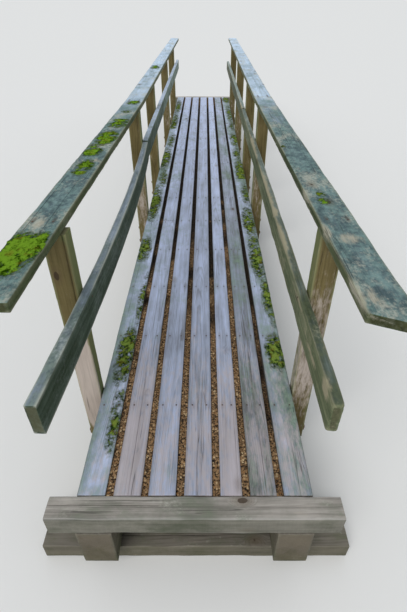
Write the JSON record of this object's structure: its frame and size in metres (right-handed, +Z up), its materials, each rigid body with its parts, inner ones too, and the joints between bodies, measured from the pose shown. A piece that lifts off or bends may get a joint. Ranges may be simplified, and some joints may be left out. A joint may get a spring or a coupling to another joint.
{
  "type": "wooden footbridge",
  "caption": "Narrow weathered timber footbridge with lengthwise deck planks and a post, mid rail and flat cap rail parapet along each side.",
  "frame": {"origin": "centre of the overall length and width, on the ground under the bank seats", "axes": "+Y along the walkway, away from the near end; +X to the right of someone walking that way; +Z up"},
  "size_m": [1.4, 8.49, 1.42],
  "materials": {
    "deck_timber": "bare weathered lavender-grey softwood planks, moss on the outer two",
    "rail_timber": "bare weathered grey-green softwood, lichen and moss on the flat tops",
    "post_timber": "bare olive-brown softwood, bleached near the foot",
    "beam_timber": "dark damp-stained softwood"
  },
  "bodies": {
    "root": {"cross_bearer_01": "beam_timber", "cross_bearer_02": "beam_timber", "cross_bearer_03": "beam_timber", "cross_bearer_04": "beam_timber", "cross_bearer_05": "beam_timber", "cross_bearer_06": "beam_timber", "cross_bearer_07": "beam_timber", "cross_bearer_08": "beam_timber", "cross_bearer_09": "beam_timber", "cross_bearer_10": "beam_timber", "cross_bearer_11": "beam_timber", "cross_bearer_12": "beam_timber", "cross_bearer_13": "beam_timber", "cross_bearer_14": "beam_timber", "cross_bearer_15": "beam_timber", "deck_lane_1": "deck_timber", "deck_lane_2": "deck_timber", "deck_lane_3": "deck_timber", "deck_lane_4": "deck_timber", "deck_lane_5": "deck_timber", "deck_lane_6": "deck_timber", "deck_lane_7": "deck_timber", "far_bank_seat": "beam_timber", "far_end_beam": "beam_timber", "left_cap_rail_far": "rail_timber", "left_cap_rail_near": "rail_timber", "left_main_beam": "beam_timber", "left_mid_rail_far": "rail_timber", "left_mid_rail_near": "rail_timber", "left_post_1": "post_timber", "left_post_2": "post_timber", "left_post_3": "post_timber", "left_post_4": "post_timber", "left_post_5": "post_timber", "near_bank_seat": "beam_timber", "near_end_beam": "beam_timber", "right_cap_rail_far": "rail_timber", "right_cap_rail_near": "rail_timber", "right_main_beam": "beam_timber", "right_mid_rail_far": "rail_timber", "right_mid_rail_near": "rail_timber", "right_post_1": "post_timber", "right_post_2": "post_timber", "right_post_3": "post_timber", "right_post_4": "post_timber", "right_post_5": "post_timber"}
  },
  "joints": []
}
